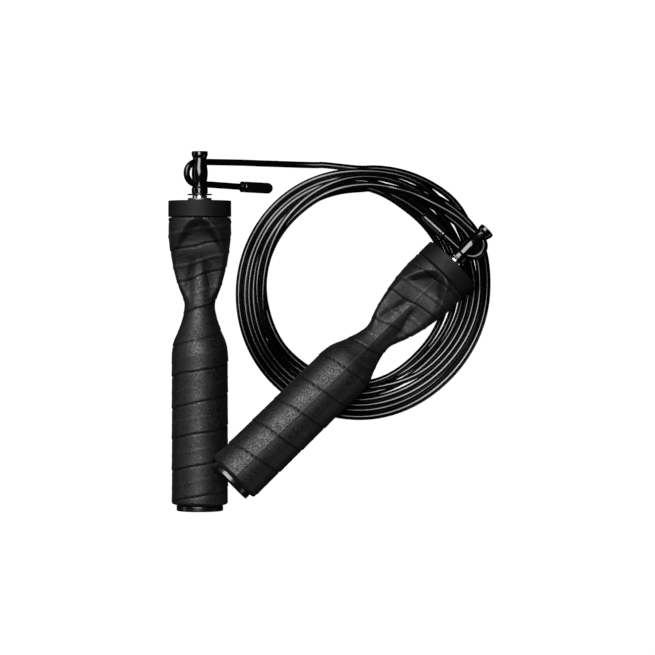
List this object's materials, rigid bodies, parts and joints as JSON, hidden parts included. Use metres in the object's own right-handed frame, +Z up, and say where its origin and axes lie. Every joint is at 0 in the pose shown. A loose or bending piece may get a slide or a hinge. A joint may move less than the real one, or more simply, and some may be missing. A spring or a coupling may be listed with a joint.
{
  "type": "speed jump rope",
  "caption": "Speed jump rope with waisted rubber grips that spin on ball bearings, and a coated cable in a flat coil.",
  "frame": {"origin": "on the surface that the rope lies on, under the middle of the box round the two handles", "axes": "+Z up off the surface; +Y along handle A, from its end cap towards its spindle; +X to the right, towards the coil and handle B's spindle"},
  "size_m": [0.1597, 0.1777, 0.048],
  "materials": {
    "grip_rubber": "matte black moulded rubber with a fine leather-like grain and wrapped bands",
    "core_plastic": "black moulded plastic",
    "collar_plastic": "satin blue-black moulded plastic",
    "cap_plastic": "gloss black plastic",
    "shield_steel": "dull grey steel",
    "bearing_steel": "ground bearing steel",
    "ball_steel": "polished steel balls in a steel cage",
    "spindle_black": "gloss black anodised metal",
    "bush_chrome": "polished nickel",
    "rope_pvc": "gloss black PVC coating over steel cable",
    "rope_cap_plastic": "black moulded end sleeve"
  },
  "bodies": {
    "rope": {"spindle_a": "spindle_black", "thrust_washer_a": "spindle_black", "nose_bush_a": "bush_chrome", "front_bearing_inner_a": "bearing_steel", "rear_bearing_inner_a": "bearing_steel", "bearing_spacer_a": "bearing_steel", "retaining_clip_a": "bearing_steel", "spindle_b": "spindle_black", "thrust_washer_b": "spindle_black", "nose_bush_b": "bush_chrome", "front_bearing_inner_b": "bearing_steel", "rear_bearing_inner_b": "bearing_steel", "bearing_spacer_b": "bearing_steel", "retaining_clip_b": "bearing_steel", "rope_lead_a": "rope_pvc", "rope_lead_b": "rope_pvc", "rope_end_cap_a": "rope_cap_plastic", "rope_end_cap_b": "rope_cap_plastic", "rope_coil": "rope_pvc"},
    "handle_a": {"grip_sleeve_a": "grip_rubber", "handle_core_a": "core_plastic", "head_collar_a": "collar_plastic", "end_cap_a": "cap_plastic", "dust_shield_a": "shield_steel", "front_bearing_outer_a": "bearing_steel", "rear_bearing_outer_a": "bearing_steel"},
    "front_balls_a": {"front_ball_cage_a": "ball_steel"},
    "rear_balls_a": {"rear_ball_cage_a": "ball_steel"},
    "handle_b": {"grip_sleeve_b": "grip_rubber", "handle_core_b": "core_plastic", "head_collar_b": "collar_plastic", "end_cap_b": "cap_plastic", "dust_shield_b": "shield_steel", "front_bearing_outer_b": "bearing_steel", "rear_bearing_outer_b": "bearing_steel"},
    "front_balls_b": {"front_ball_cage_b": "ball_steel"},
    "rear_balls_b": {"rear_ball_cage_b": "ball_steel"}
  },
  "joints": [
    {"name": "handle_a_spin", "type": "hinge", "parent": "rope", "child": "handle_a", "pos_m": [-0.06427, 0.06402, 0.01561], "axis": [0, 0.9999, 0.012], "continuous": true},
    {"name": "front_balls_a_orbit", "type": "hinge", "parent": "rope", "child": "front_balls_a", "pos_m": [-0.06427, 0.05922, 0.01555], "axis": [0, 0.9999, 0.012], "continuous": true},
    {"name": "rear_balls_a_orbit", "type": "hinge", "parent": "rope", "child": "rear_balls_a", "pos_m": [-0.06427, 0.05082, 0.01545], "axis": [0, 0.9999, 0.012], "continuous": true},
    {"name": "handle_b_spin", "type": "hinge", "parent": "rope", "child": "handle_b", "pos_m": [0.05976, 0.03266, 0.0223], "axis": [0.714, 0.6956, -0.0793], "continuous": true},
    {"name": "front_balls_b_orbit", "type": "hinge", "parent": "rope", "child": "front_balls_b", "pos_m": [0.05633, 0.02932, 0.02268], "axis": [0.714, 0.6956, -0.0793], "continuous": true},
    {"name": "rear_balls_b_orbit", "type": "hinge", "parent": "rope", "child": "rear_balls_b", "pos_m": [0.05033, 0.02348, 0.02335], "axis": [0.714, 0.6956, -0.0793], "continuous": true}
  ],
  "couplings": [
    {"joint": "front_balls_a_orbit", "follows": "handle_a_spin", "ratio": 0.6343},
    {"joint": "rear_balls_a_orbit", "follows": "handle_a_spin", "ratio": 0.6343},
    {"joint": "front_balls_b_orbit", "follows": "handle_b_spin", "ratio": 0.6343},
    {"joint": "rear_balls_b_orbit", "follows": "handle_b_spin", "ratio": 0.6343}
  ]
}
